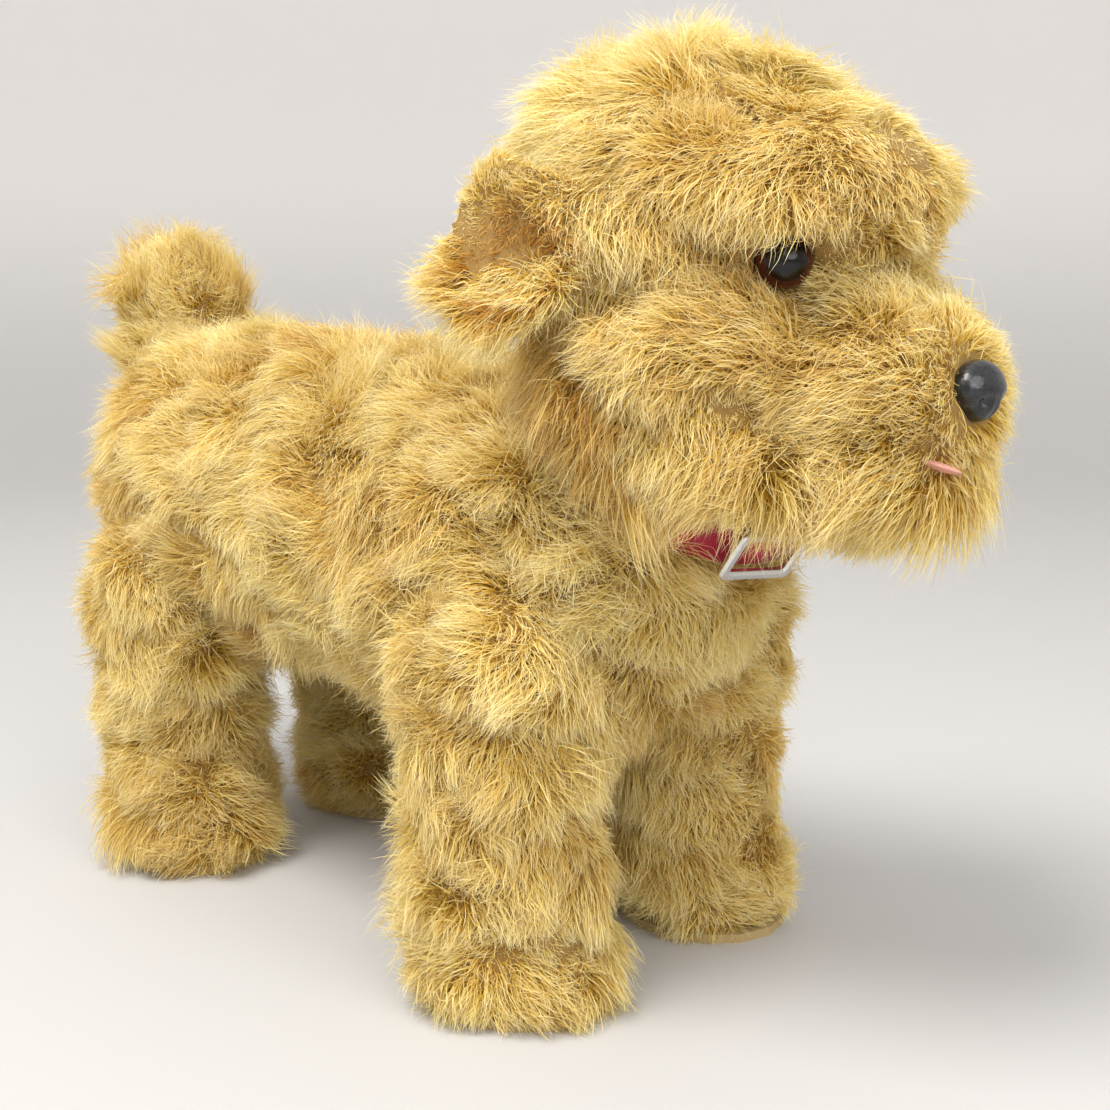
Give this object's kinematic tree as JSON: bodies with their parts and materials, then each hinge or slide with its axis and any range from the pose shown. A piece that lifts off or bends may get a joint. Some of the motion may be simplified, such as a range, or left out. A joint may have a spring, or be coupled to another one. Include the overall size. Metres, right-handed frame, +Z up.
{
  "type": "plush dog",
  "caption": "Standing plush dog with golden curly pile, upright stub tail, drop ears, button eyes and nose, felt tongue and a buckled red collar.",
  "frame": {"origin": "middle of the overall box, at the level of the soles", "axes": "+X the way the dog faces, +Y its left side, +Z up"},
  "size_m": [0.2794, 0.111, 0.194],
  "materials": {
    "plush": "long curly golden pile",
    "lining": "short pile",
    "filling": "loose fibre filling",
    "felt": "felt",
    "steel": "drawn wire and pressed sheet",
    "board": "pressed board",
    "eye": "glossy dark brown",
    "nose": "glossy black",
    "washer": "moulded",
    "collar_vinyl": "grained crimson strap",
    "buckle_chrome": "bright plated"
  },
  "bodies": {
    "root": {"body_panel_right": "plush", "body_panel_left": "plush", "belly_gusset": "plush", "body_stuffing": "filling", "spine_wire": "steel", "front_cross_wire": "steel", "rear_cross_wire": "steel", "neck_disc_lower": "board", "neck_washer_lower": "steel", "neck_pin": "steel"},
    "head": {"neck_disc_upper": "board", "neck_washer_upper": "steel", "head_panel_right": "plush", "head_panel_left": "plush", "head_centre_gusset": "plush", "chin_gusset": "plush", "head_stuffing": "filling", "eye_right": "eye", "eye_left": "eye", "eye_washer_right": "washer", "eye_washer_left": "washer", "nose": "nose", "nose_washer": "washer", "tongue": "felt"},
    "ear_right": {"ear_outer_right": "plush", "ear_lining_right": "lining"},
    "ear_left": {"ear_outer_left": "plush", "ear_lining_left": "lining"},
    "leg_front_right": {"leg_front_right_outer_panel": "plush", "leg_front_right_inner_panel": "plush", "leg_front_right_sole": "lining", "leg_front_right_stuffing": "filling", "leg_front_right_wire": "steel"},
    "leg_front_left": {"leg_front_left_outer_panel": "plush", "leg_front_left_inner_panel": "plush", "leg_front_left_sole": "lining", "leg_front_left_stuffing": "filling", "leg_front_left_wire": "steel"},
    "leg_rear_right": {"leg_rear_right_outer_panel": "plush", "leg_rear_right_inner_panel": "plush", "leg_rear_right_sole": "lining", "leg_rear_right_stuffing": "filling", "leg_rear_right_wire": "steel"},
    "leg_rear_left": {"leg_rear_left_outer_panel": "plush", "leg_rear_left_inner_panel": "plush", "leg_rear_left_sole": "lining", "leg_rear_left_stuffing": "filling", "leg_rear_left_wire": "steel"},
    "tail": {"tail_panel_right": "plush", "tail_panel_left": "plush", "tail_stuffing": "filling", "tail_wire": "steel"},
    "collar": {"collar_strap": "collar_vinyl", "collar_buckle": "buckle_chrome"}
  },
  "joints": [
    {"name": "head_turn", "type": "hinge", "parent": "root", "child": "head", "pos_m": [0.06789, 0, 0.124], "axis": [0.5878, 0, 0.809], "range_deg": [-45, 45]},
    {"name": "ear_right_lift", "type": "hinge", "parent": "head", "child": "ear_right", "pos_m": [0.06789, -0.0415, 0.1725], "axis": [-0.9292, -0.3697, 0], "range_deg": [-10, 45]},
    {"name": "ear_left_lift", "type": "hinge", "parent": "head", "child": "ear_left", "pos_m": [0.06789, 0.0415, 0.1725], "axis": [0.9292, -0.3697, 0], "range_deg": [-10, 45]},
    {"name": "leg_front_right_swing", "type": "hinge", "parent": "root", "child": "leg_front_right", "pos_m": [0.04489, -0.0315, 0.07], "axis": [0, 1, 0], "range_deg": [-20, 20]},
    {"name": "leg_front_left_swing", "type": "hinge", "parent": "root", "child": "leg_front_left", "pos_m": [0.04489, 0.0315, 0.07], "axis": [0, 1, 0], "range_deg": [-20, 20]},
    {"name": "leg_rear_right_swing", "type": "hinge", "parent": "root", "child": "leg_rear_right", "pos_m": [-0.08111, -0.0315, 0.07], "axis": [0, 1, 0], "range_deg": [-20, 20]},
    {"name": "leg_rear_left_swing", "type": "hinge", "parent": "root", "child": "leg_rear_left", "pos_m": [-0.08111, 0.0315, 0.07], "axis": [0, 1, 0], "range_deg": [-20, 20]},
    {"name": "tail_wag", "type": "hinge", "parent": "root", "child": "tail", "pos_m": [-0.11611, 0, 0.114], "axis": [1, 0, 0], "range_deg": [-20, 20]},
    {"name": "collar_turn", "type": "hinge", "parent": "root", "child": "collar", "pos_m": [0.06789, 0, 0.124], "axis": [0.5878, 0, 0.809], "range_deg": [-20, 20]}
  ]
}
